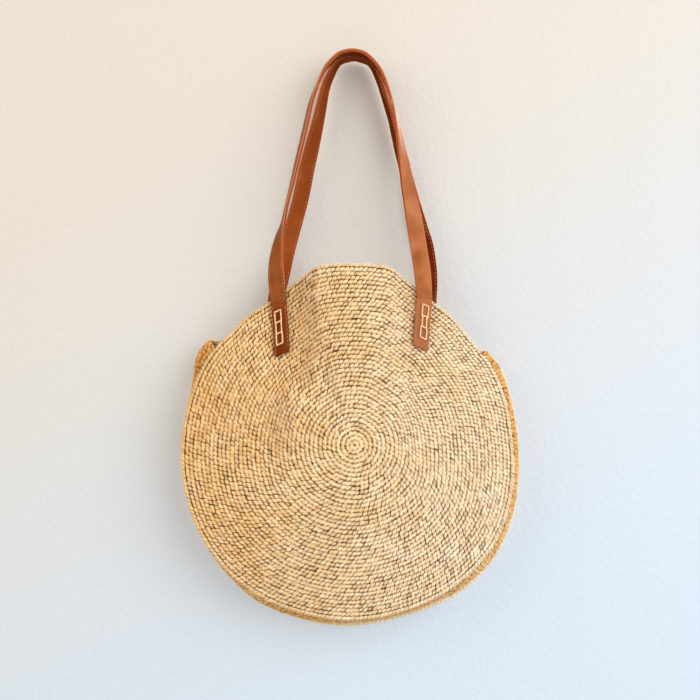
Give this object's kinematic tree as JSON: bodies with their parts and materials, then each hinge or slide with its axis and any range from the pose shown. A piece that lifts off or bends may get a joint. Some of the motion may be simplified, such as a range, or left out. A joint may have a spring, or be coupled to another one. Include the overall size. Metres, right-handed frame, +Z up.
{
  "type": "raffia shoulder bag",
  "caption": "Round crocheted raffia shoulder bag with a narrow gusset and open mouth, hanging by flat leather straps laced to its panels.",
  "frame": {"origin": "the hang point: underside of the straps at the top of their arch, midway between the two", "axes": "+X to the right and -Y towards the viewer of the bag's front, +Z up"},
  "size_m": [0.3776, 0.0958, 0.649],
  "materials": {
    "raffia": "crocheted raffia",
    "raffia_gold": "crocheted raffia, deeper gold",
    "leather": "smooth, low sheen",
    "leather_lining": "matt flesh side",
    "thread": "waxed thread"
  },
  "bodies": {
    "bag": {"front_panel": "raffia", "back_panel": "raffia", "gusset": "raffia_gold", "front_seam": "raffia", "rear_seam": "raffia", "front_mouth_edging": "raffia", "rear_mouth_edging": "raffia", "front_left_tab": "leather", "front_left_patch": "leather_lining", "front_left_lacing": "thread", "front_right_tab": "leather", "front_right_patch": "leather_lining", "front_right_lacing": "thread", "rear_left_tab": "leather", "rear_left_patch": "leather_lining", "rear_left_lacing": "thread", "rear_right_tab": "leather", "rear_right_patch": "leather_lining", "rear_right_lacing": "thread"},
    "front_strap": {"front_strap_outer": "leather", "front_strap_lining": "leather_lining"},
    "rear_strap": {"rear_strap_outer": "leather", "rear_strap_lining": "leather_lining"}
  },
  "joints": [
    {"name": "front_strap_hinge", "type": "hinge", "parent": "bag", "child": "front_strap", "pos_m": [-0.00035, -0.02816, -0.2776], "axis": [0.9993, 0, 0.0387], "range_deg": [0, 150]},
    {"name": "rear_strap_hinge", "type": "hinge", "parent": "bag", "child": "rear_strap", "pos_m": [0, 0.0193, -0.284], "axis": [1, 0, 0], "range_deg": [-150, 0]}
  ]
}
